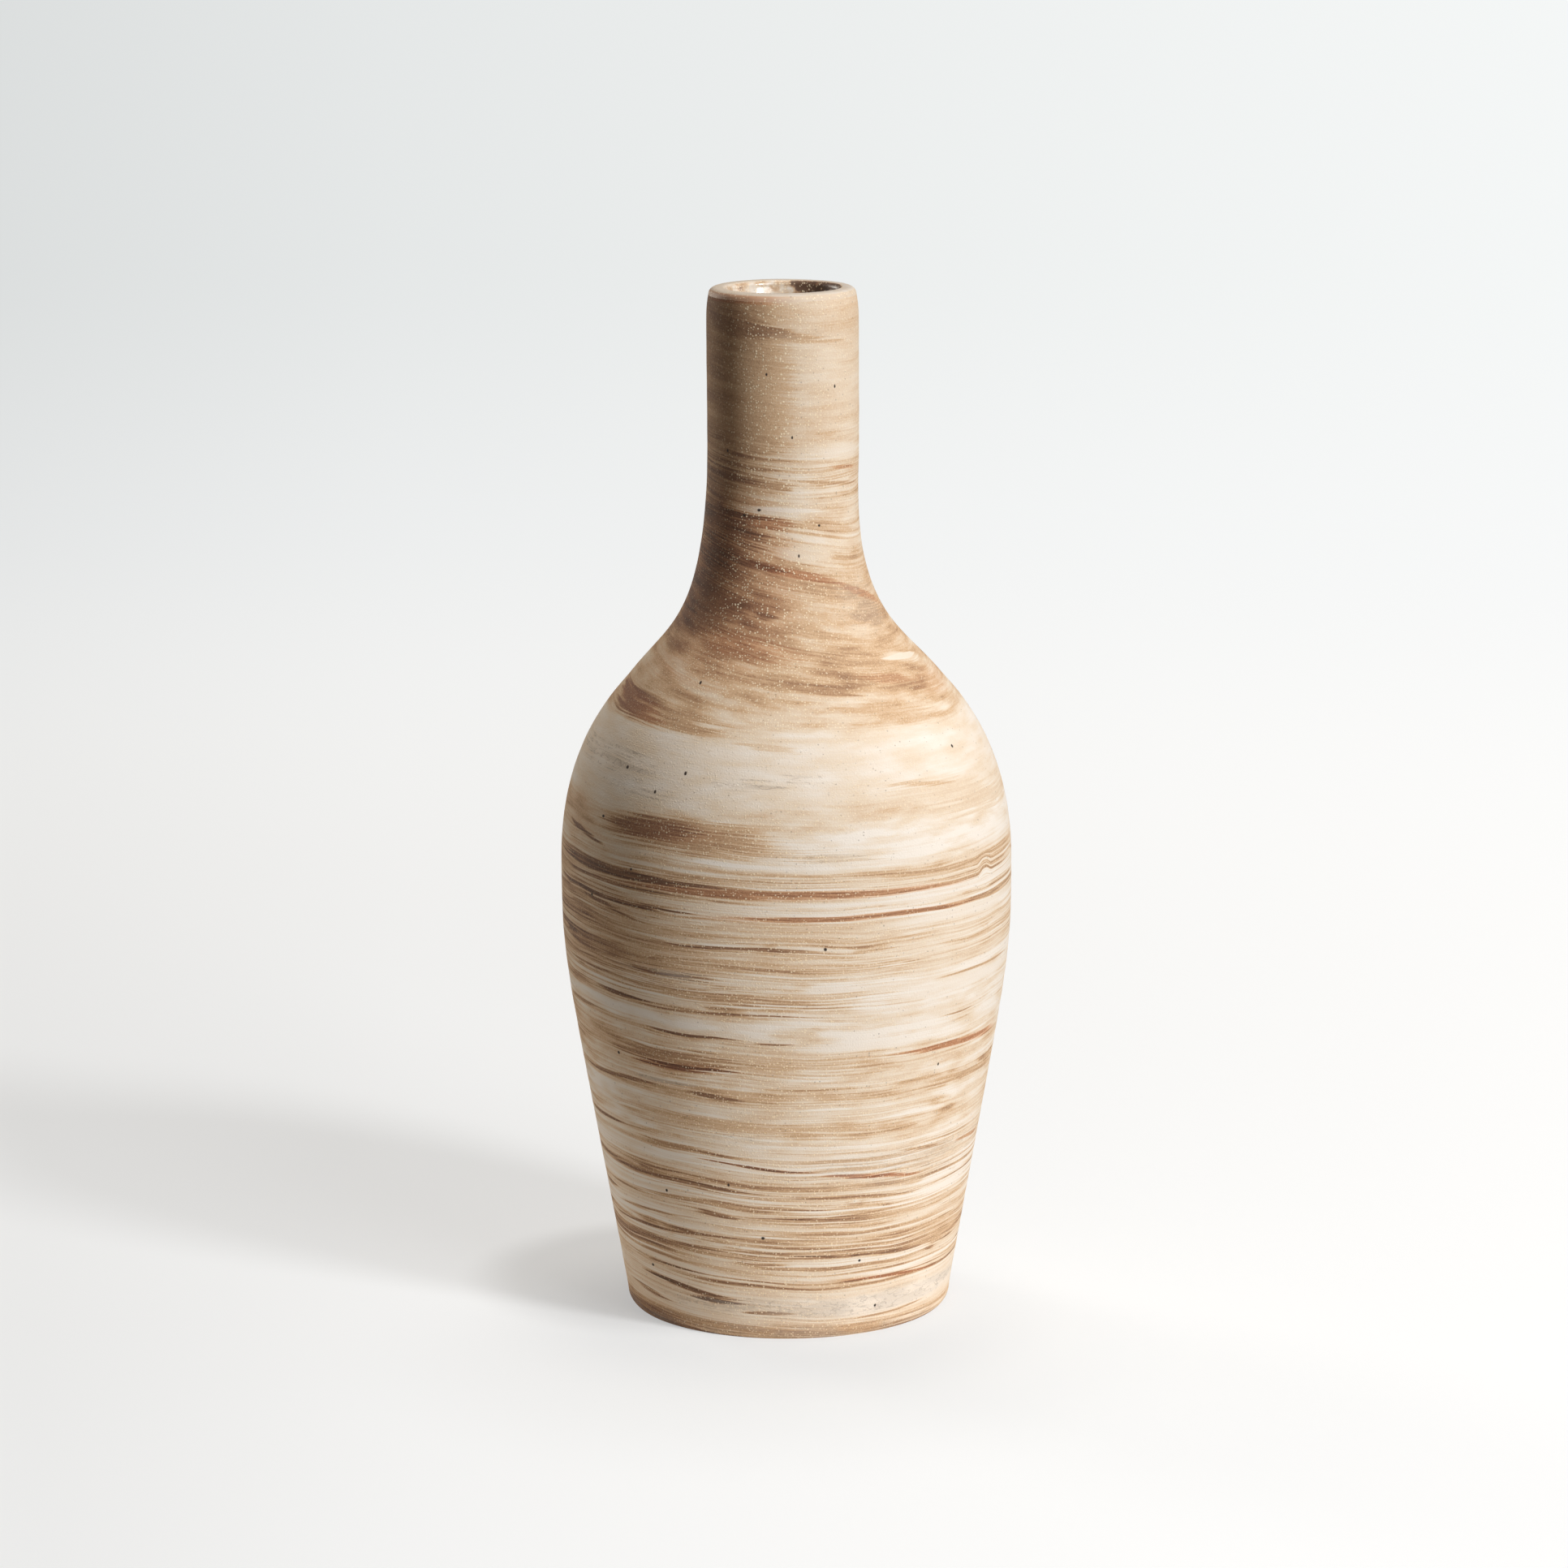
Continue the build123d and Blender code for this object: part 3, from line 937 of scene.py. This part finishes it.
def lay_smears(tree, tone, spot, fibres, rows):
    """The tone with each smear laid over the ones before it."""
    for smear in map(Smear._make, rows):
        inputs = {
            "Tone": tone,
            "Spot": spot,
            "Centre": (smear.around, smear.level, 0),
            "Turn": (0, 0, math.atan(smear.fall)),
            "Size": (smear.reach * smear_dome, smear.thickness * smear_dome, 1),
            "Fibres": fibres,
            "Rag": smear.rag,
            "Target": smear.tone,
            "Strength": smear.strength,
        }
        tone = use(tree, smear_group, inputs)["Tone"]
    return tone


Section = namedtuple("Section", "low high tones streaks clouds smears rust grey pits")


def section_curve(tree, section, level, points):
    """A curve up a section, from points of a level and a value."""
    rise = section.high - section.low
    share = calc(tree, "DIVIDE", calc(tree, "SUBTRACT", level, section.low), rise)
    return profile(tree, share, [((point - section.low) / rise, value) for point, value in points])


# How the left tones, with their painted shade, blend into the right ones, how far they drop at the
# front, and how much they rise from there to the left side
side_blend = (-0.9, 0.28)
front_drop = 1.8
left_rise = 2.6

# How strongly each noise tells on the tone, and the tones on which it tells
band_gain = 1.0
line_gain = 0.40
crisp_lines = (0.36, 0.64)
line_gather = (0.40, 0.60, 0.30, 1.25)
streaky_tones = (0.02, 0.32, 0.35, 1.0)
cloud_gain = 1.6
hair_line = (0.026, 0.005)
hair_cloud = (0.45, 0.60)
hair_gain = 0.36
rag_fibres = 1.5
rag_lines = 0.55
grain_fibres = 0.9
grain_lines = 0.15
grain_by_streaks = 0.8
grain_anyway = 0.15
grit_gain = 0.35
grainy_tones = (0.0, 0.4, 0.2, 1.0)

# Grey stains and the fine dark veins in them
stain_cloud = (0.40, 0.56)
vein_line = (0.030, 0.006)
vein_gain = 2.2

# How bright the pale specks are: more above the shoulder, less towards both sides. Between the
# sides they are brighter as a painted glint, where raised grog catches the grazing light
speck_glint_rise = (180.0, 215.0, 0.65, 0.88)
speck_glint_right = (0.75, 0.0, 0.50, 1.0)
speck_glint_left = (-0.85, -0.45, 0.35, 1.0)

# The matt surface: the share of each noise in its relief, the relief's strength and depth
fibre_relief = 0.6
speck_relief = 0.5
clay_relief = 0.6
clay_relief_depth = 0.12
clay_roughness = 0.85

Noises = namedtuple("Noises", "lines fibres cloud rag")


def clay_noises(tree, drawn):
    """The noises that several layers share: crisp lines, fibres, clouds, and the rag of a smear's edge."""
    lines = fade(tree, drawn_noise(tree, drawn, fine_lines), *crisp_lines)
    fibres = drawn_noise(tree, drawn, wall_fibres)
    cloud = drawn_noise(tree, drawn, clay_cloud)
    rag = calc(tree, "ADD", centred(tree, fibres, rag_fibres), centred(tree, lines, rag_lines))
    return Noises(lines, fibres, cloud, rag)


def section_tone(tree, place, section, noises, grit):
    """The tone of the marbling: the section's own, its streaks, clouds and hairlines, smears and grain."""
    level, side, drawn = place["Level"], place["Side"], place["Drawn"]
    # The left tones bring painted shade to the side away from the lamps
    left_level = scaled(tree, side, left_rise, calc(tree, "ADD", level, front_drop))
    left = section_curve(tree, section, left_level, [(point, tone) for point, tone, _ in section.tones])
    right = section_curve(tree, section, level, [(point, tone) for point, _, tone in section.tones])
    tone = mix(tree, fade(tree, side, *side_blend), left, right)
    streaks = section_curve(tree, section, level, section.streaks)
    clouds = section_curve(tree, section, level, section.clouds)
    streaks = product(tree, streaks, fade(tree, tone, *streaky_tones))
    bands = centred(tree, drawn_noise(tree, drawn, broad_bands), band_gain)
    gather = fade(tree, drawn_noise(tree, drawn, wide_sheets), *line_gather)
    stretch = scaled(tree, centred(tree, noises.lines, line_gain), gather, bands)
    tone = scaled(tree, stretch, streaks, tone)
    tone = scaled(tree, centred(tree, noises.cloud, cloud_gain), clouds, tone)
    contour = drawn_noise(tree, drawn, hair_contours)
    hair = fade(tree, apart(tree, contour, 0.5), *hair_line)
    hair = product(tree, hair, fade(tree, noises.cloud, *hair_cloud), streaks)
    tone = scaled(tree, hair, hair_gain, tone)
    tone = lay_smears(tree, tone, place["Spot"], noises.rag, section.smears)
    grain = centred(tree, noises.lines, grain_lines)
    grain = calc(tree, "ADD", centred(tree, noises.fibres, grain_fibres), grain)
    depth = scaled(tree, streaks, grain_by_streaks, grain_anyway)
    tone = scaled(tree, grain, product(tree, fade(tree, tone, *grainy_tones), depth), tone)
    return scaled(tree, centred(tree, grit, grit_gain), fade(tree, tone, *grainy_tones), tone)


def fired_surface(tree, colour, roughness, relief, strength, depth):
    """The surface of fired clay or glaze, with its fine relief in millimetres."""
    bump = node(tree, "ShaderNodeBump", {"Height": relief, "Strength": strength, "Distance": depth * mm})
    inputs = {"Base Color": colour, "Roughness": roughness, "Normal": bump.outputs[0]}
    shader = node(tree, "ShaderNodeBsdfPrincipled", inputs)
    node(tree, "ShaderNodeOutputMaterial", {"Surface": shader.outputs[0]})


def marbled_clay(name, section):
    """The matt marbled clay of a thrown section."""
    material, tree, coordinates = new_material(name)
    place = use(tree, place_group, {"Object": coordinates})
    grog = use(tree, grog_group, {"Place": place["Solid"]})
    level, side, spot = place["Level"], place["Side"], place["Spot"]
    noises = clay_noises(tree, place["Drawn"])
    tone = section_tone(tree, place, section, noises, grog["Grit"])
    grey = lay_smears(tree, 0.0, spot, noises.rag, section.grey)
    crackle = drawn_noise(tree, place["Drawn"], vein_crackle)
    veins = product(tree, grey, vein_gain, fade(tree, apart(tree, crackle, 0.5), *vein_line))
    rust = lay_smears(tree, 0.0, spot, noises.rag, section.rust)
    dots = [Smear(*pit, thickness=pit_height, fall=0, tone=1, strength=1, rag=0) for pit in section.pits]
    pits = lay_smears(tree, 0.0, spot, 0.0, dots)
    # The specks' painted glint: brighter between the lit and the shaded side
    painted_glint = product(
        tree,
        fade(tree, level, *speck_glint_rise),
        fade(tree, side, *speck_glint_right),
        fade(tree, side, *speck_glint_left),
    )
    inputs = {
        "Tone": tone,
        "Rust": rust,
        "Grey": product(tree, grey, fade(tree, noises.cloud, *stain_cloud)),
        "Specks": grog["Specks"],
        "Shine": painted_glint,
        "Flecks": calc(tree, "MAXIMUM", grog["Flecks"], veins),
        "Pits": calc(tree, "MAXIMUM", pits, grog["Pinholes"]),
    }
    colour = use(tree, clay_colour_group, inputs)["Color"]
    relief = scaled(tree, noises.fibres, fibre_relief, grog["Grit"])
    relief = scaled(tree, grog["Specks"], speck_relief, relief)
    relief = calc(tree, "SUBTRACT", relief, grog["Pinholes"])
    fired_surface(tree, colour, clay_roughness, relief, clay_relief, clay_relief_depth)
    return material


# Where the coat covers the lip, and where the clay's own colours show round the lip's outer edge
lip_begins = (clear_radius + 0.35, clear_radius + 1.1)
lip_rises = (height - 4.0, height - 3.0)
skirt_begins = (lip_radius - 1.7, lip_radius - 1.0)
skirt_falls = (height - 0.45, height - 0.85)

# The mottled tone inside: its middle, how far it varies, its right side darkened as painted shade,
# and its left spots
lining_tone = 0.26
mottle_gain = 2.6
torn_gain = 0.5
painted_shade_turn = (0.10, 0.34)
painted_shade_gain = 0.95
spot_turn = (-0.55, -0.75)
spot_gain = 0.16

# The tones of the lip and its skirt from left to right, with their mottle, rust and grey. The lip's
# darker left is painted shade
rim_tones_and_shade = (-0.9, 0.3, 0.16, 0.07)
rim_mottle = 0.5
skirt_tones = (-0.9, 0.25, 0.58, 0.26)
skirt_mottle = 0.3
skirt_rust = (0.35, -0.35, 0.0, 0.65)
lining_grey = 0.22
rim_grey = 0.18
painted_shade_grey_loss = 0.9
lining_shine = 0.8

# The glaze's gloss inside, on its side darkened by painted shade and on the lip, the soft flare below
# the lip, and how strong and how deep the relief is
pale_gloss = 0.13
dark_gloss = 0.45
lip_gloss = 0.60
flare_rise = (height - 4.4, height - 1.6, 0.67, 0.0)
mottle_relief = 0.05
glaze_relief = 1.0
glaze_relief_depth = 1.0


def lining_glaze(name):
    """The glossy glaze over mottled clay inside the vase, thin and nearly matt where it covers the lip."""
    material, tree, coordinates = new_material(name)
    place = use(tree, place_group, {"Object": coordinates})
    grog = use(tree, grog_group, {"Place": place["Solid"]})
    side = place["Side"]
    up = split(tree, place["Solid"])[2]
    radius = vector_calc(tree, "LENGTH", vector_calc(tree, "MULTIPLY", place["Solid"], (1, 1, 0)))
    lip = product(tree, fade(tree, radius, *lip_begins), fade(tree, up, *lip_rises))
    skirt = product(tree, fade(tree, radius, *skirt_begins), fade(tree, up, *skirt_falls))
    mottle = drawn_noise(tree, place["Solid"], lining_mottle)
    torn = calc(tree, "ADD", side, centred(tree, mottle, torn_gain))
    # The right side inside is darkened as painted shade
    dark = fade(tree, torn, *painted_shade_turn)
    spots = scaled(tree, fade(tree, torn, *spot_turn), spot_gain, lining_tone)
    tone = calc(tree, "ADD", centred(tree, mottle, mottle_gain), spots)
    tone = scaled(tree, dark, painted_shade_gain, tone)
    rim_tone = calc(tree, "ADD", centred(tree, mottle, rim_mottle), fade(tree, side, *rim_tones_and_shade))
    tone = mix(tree, lip, tone, rim_tone)
    skirt_tone = calc(tree, "ADD", centred(tree, mottle, skirt_mottle), fade(tree, side, *skirt_tones))
    pale = calc(tree, "MAXIMUM", calc(tree, "SUBTRACT", lip, skirt), 0.0)
    grey_left = scaled(tree, dark, scaled(tree, lip, painted_shade_grey_loss, -painted_shade_grey_loss), 1.0)
    inputs = {
        "Tone": mix(tree, skirt, tone, skirt_tone),
        "Rust": product(tree, skirt, fade(tree, side, *skirt_rust)),
        "Grey": product(tree, scaled(tree, pale, rim_grey, lining_grey), grey_left),
        "Specks": grog["Specks"],
        "Shine": lining_shine,
        "Flecks": grog["Flecks"],
        "Pits": grog["Pinholes"],
    }
    colour = use(tree, clay_colour_group, inputs)["Color"]
    roughness = mix(tree, lip, mix(tree, dark, pale_gloss, dark_gloss), lip_gloss)
    relief = scaled(tree, mottle, mottle_relief, fade(tree, up, *flare_rise))
    fired_surface(tree, colour, roughness, relief, glaze_relief, glaze_relief_depth)
    return material


def place_piece(piece, cad_node, material):
    """A finished piece takes its material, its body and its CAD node's place."""
    piece.data.materials.append(material)
    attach(piece, "root")
    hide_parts(cad_node)


lower_part = Section(
    low=0,
    high=belly_height,
    tones=lower_tones_and_shade,
    streaks=lower_streaks,
    clouds=lower_clouds,
    smears=lower_smears,
    rust=lower_rust,
    grey=lower_grey,
    pits=lower_pits,
)
upper_part = Section(
    low=rim_height,
    high=height,
    tones=upper_tones_and_shade,
    streaks=upper_streaks,
    clouds=upper_clouds,
    smears=upper_smears,
    rust=upper_rust,
    grey=upper_grey,
    pits=upper_pits,
)
slip_part = lower_part._replace(smears=[], rust=[], grey=[], pits=[])
lower_clay = marbled_clay("lower_clay", lower_part)
upper_clay = marbled_clay("upper_clay", upper_part)
joint_clay = marbled_clay("joint_clay", slip_part)
glaze = lining_glaze("liner_glaze")
place_piece(turned("lower_section", lower_section()), "lower_body", lower_clay)
place_piece(turned("slip_ring", slip_ring()), "slip_joint", joint_clay)
place_piece(turned("upper_section", upper_section()), "upper_body", upper_clay)
place_piece(turned("liner", liner()), "inner_glaze", glaze)

# The camera of the photograph: its place, its aim and its slight turn
camera_distance = 1639.1
camera_height = 491.75
camera_pitch = 11.546
camera_yaw = 0.0206
camera_roll = -0.31
camera_lens = 129.48
camera_sensor = 36.0

# From here on the stage is in metres: how near and how far the camera sees
camera_near = 0.05
camera_far = 60.0

# The floor is a pale sheet that fades into the background. Its tint runs from left to right of the
# view, darker at the left as painted light falloff; the view spreads by this share of the distance,
# but no less than at the narrowest depth
floor_size = 30.0
view_spread = 0.139
narrowest_depth = -0.5
floor_tints_and_falloff = [
    (0.00, (0.830, 0.835, 0.835)),
    (0.25, (0.885, 0.890, 0.890)),
    (0.50, (0.915, 0.918, 0.916)),
    (0.75, (0.940, 0.943, 0.940)),
    (1.00, (0.955, 0.957, 0.955)),
]
far_reach = (0.3, 3.0)
far_left_falloff = (0.865, 0.882, 0.880, 1)
far_right_falloff = (0.955, 0.972, 0.970, 1)

# Near the vase the floor takes the shadow: part of its tone is lit, and the rest is its own.
# The painted contact shadows darken it a little beside the foot, at the left and in front
black = (0, 0, 0, 1)
shade_centre = (-0.2, 0.1, 0)
shade_reach = (1.5, 0.35)
shade_grey = (0.2, 1.2, 0.42, 0.54)
shade_tint = (0.965, 0.982, 1.0, 1)
shade_glow = 0.645
left_painted_shadow = (-0.035, 0.020, 0)
left_painted_shadow_fade = (0.045, 0.068, 0.78, 1.0)
front_painted_shadow = (-0.008, -0.060, 0)
front_painted_shadow_fade = (0.03, 0.13, 0.88, 1.0)

# The light that the floor throws back on the vase
bounce_centre = (0.0, -0.02, 0)
bounce_reach = (0.35, 0.20)
bounce_tints = [(0.0, (0.02, 0.02, 0.02)), (1.0, (0.68, 0.67, 0.65))]
warmth_tints = [(0.0, (0, 0, 0)), (1.0, (0.12, 0.100, 0.082))]

# The world's light on the vase, in its gloss and where the camera sees it
ambient_colour = (1.0, 0.82, 0.62, 1)
ambient_strength = 0.05
gloss_colour = (1.0, 0.98, 0.95, 1)
gloss_strength = 0.22
background_colour = (0.86, 0.875, 0.875, 1)

# Round soft lamps: the angle from the front to the right, the angle up, how far and how wide they are,
# their strength and their colour. A strength of 1 shows a colour as it is written.
lamps = [
    ("key", 51, 31, 4.0, 0.75, 0.645, (1.0, 1.0, 1.0)),
    ("key_wide", 40, 33, 4.0, 2.0, 0.41, (1.0, 1.0, 1.0)),
    ("right_fill", 105, 12, 3.0, 1.2, 0.09, (1.0, 0.98, 0.95)),
    ("overhead", 170, 82, 3.0, 0.9, 0.22, (1.0, 0.88, 0.74)),
    ("back_fill", -135, 13, 3.0, 1.0, 0.36, (1.0, 0.945, 0.86)),
]


def floor_tint(tree, coordinates):
    """The floor's tint across the view, with painted light falloff to the left, and towards the far
    background.
    """
    x, y, _ = split(tree, coordinates)
    away = calc(tree, "ADD", calc(tree, "MAXIMUM", y, narrowest_depth), camera_distance * mm)
    fan = {"Value": calc(tree, "DIVIDE", x, away), "From Min": -view_spread, "From Max": view_spread}
    across = node(tree, "ShaderNodeMapRange", fan).outputs["Result"]
    far = fade(tree, vector_calc(tree, "LENGTH", coordinates), *far_reach)
    far_tint = mix_colour(tree, across, far_left_falloff, far_right_falloff)
    return mix_colour(tree, far, ramp(tree, across, floor_tints_and_falloff), far_tint, "MULTIPLY")


def seen_floor(tree, coordinates):
    """The floor as the camera sees: shadow near the vase, painted shadow by the foot, and plain beyond."""
    tint = floor_tint(tree, coordinates)
    reach = reach_from(tree, coordinates, shade_centre)
    near = fade(tree, reach, *shade_reach)
    cool = mix_colour(tree, 1.0, tint, shade_tint, "MULTIPLY")
    shade = diffuse(tree, mix_colour(tree, fade(tree, reach, *shade_grey), black, cool))
    # Painted contact shadow beside the foot, at the left and in front, dims the floor's glow
    left = fade(tree, reach_from(tree, coordinates, left_painted_shadow), *left_painted_shadow_fade)
    front = fade(tree, reach_from(tree, coordinates, front_painted_shadow), *front_painted_shadow_fade)
    strength = product(tree, mix(tree, near, 1.0, shade_glow), product(tree, left, front))
    glow = node(tree, "ShaderNodeEmission", {"Color": tint, "Strength": strength}).outputs[0]
    return add_shader(tree, mix_shader(tree, near, diffuse(tree, black), shade), glow)


def lit_floor(tree, coordinates):
    """The floor as the vase sees it: the pale patch round the foot, and its warmth."""
    reach = fade(tree, reach_from(tree, coordinates, bounce_centre), *bounce_reach)
    warmth = node(tree, "ShaderNodeEmission", {"Color": ramp(tree, reach, warmth_tints)}).outputs[0]
    return add_shader(tree, diffuse(tree, ramp(tree, reach, bounce_tints)), warmth)


def floor_surface():
    """The pale floor: one look for the camera and for gloss, and one for the light on the vase."""
    material, tree, coordinates = new_material("pale_floor")
    rays = node(tree, "ShaderNodeLightPath").outputs
    direct = calc(tree, "MAXIMUM", rays["Is Camera Ray"], rays["Is Glossy Ray"])
    direct = calc(tree, "MAXIMUM", direct, rays["Is Transmission Ray"])
    surface = mix_shader(tree, direct, lit_floor(tree, coordinates), seen_floor(tree, coordinates))
    node(tree, "ShaderNodeOutputMaterial", {"Surface": surface})
    return material


def make_floor():
    """A wide flat floor under the foot."""
    shape = bmesh.new()
    bmesh.ops.create_grid(shape, x_segments=1, y_segments=1, size=floor_size / 2)
    mesh = bpy.data.meshes.new("floor")
    shape.to_mesh(mesh)
    shape.free()
    mesh.materials.append(floor_surface())
    floor = add_object("floor", mesh)


def make_lamp(name, azimuth, elevation, distance, size, strength, colour):
    """A round soft lamp aimed at the vase."""
    target = Vector((0, 0, height * mm / 2))
    turn, lift = math.radians(azimuth), math.radians(elevation)
    toward = Vector((math.sin(turn) * math.cos(lift), -math.cos(turn) * math.cos(lift), math.sin(lift)))
    data = bpy.data.lights.new(name, "AREA")
    data.shape = "DISK"
    data.size = size
    data.energy = math.pi**2 * distance**2 * strength
    data.color = colour
    lamp = add_object(name, data)
    lamp.location = target + toward * distance
    lamp.rotation_euler = toward.to_track_quat("Z", "Y").to_euler()


def background(tree, colour, strength):
    """A plain light from all sides."""
    return node(tree, "ShaderNodeBackground", {"Color": colour, "Strength": strength}).outputs[0]


def make_world():
    """Faint ambient light, with the pale background where the camera sees it."""
    world = bpy.data.worlds.new("studio")
    bpy.context.scene.world = world
    world.use_nodes = True
    tree = world.node_tree
    tree.nodes.clear()
    rays = node(tree, "ShaderNodeLightPath").outputs
    ambient = background(tree, ambient_colour, ambient_strength)
    glossy = background(tree, gloss_colour, gloss_strength)
    pale = background(tree, background_colour, 1.0)
    lit = mix_shader(tree, rays["Is Glossy Ray"], ambient, glossy)
    shown = mix_shader(tree, rays["Is Camera Ray"], lit, pale)
    node(tree, "ShaderNodeOutputWorld", {"Surface": shown})


def make_camera():
    """The camera at the photograph's viewing angle."""
    data = bpy.data.cameras.new("camera")
    data.lens = camera_lens
    data.sensor_width = camera_sensor
    data.clip_start = camera_near
    data.clip_end = camera_far
    camera = add_object("camera", data)
    place = Matrix.Translation((0, -camera_distance * mm, camera_height * mm))
    yaw = Matrix.Rotation(math.radians(camera_yaw), 4, "Z")
    pitch = Matrix.Rotation(math.radians(90 - camera_pitch), 4, "X")
    roll = Matrix.Rotation(math.radians(camera_roll), 4, "Z")
    camera.matrix_world = place @ (yaw @ pitch) @ roll
    bpy.context.scene.camera = camera


make_floor()
for lamp_values in lamps:
    make_lamp(*lamp_values)
make_world()
make_camera()

scene = bpy.context.scene
scene.view_settings.view_transform = "Standard"
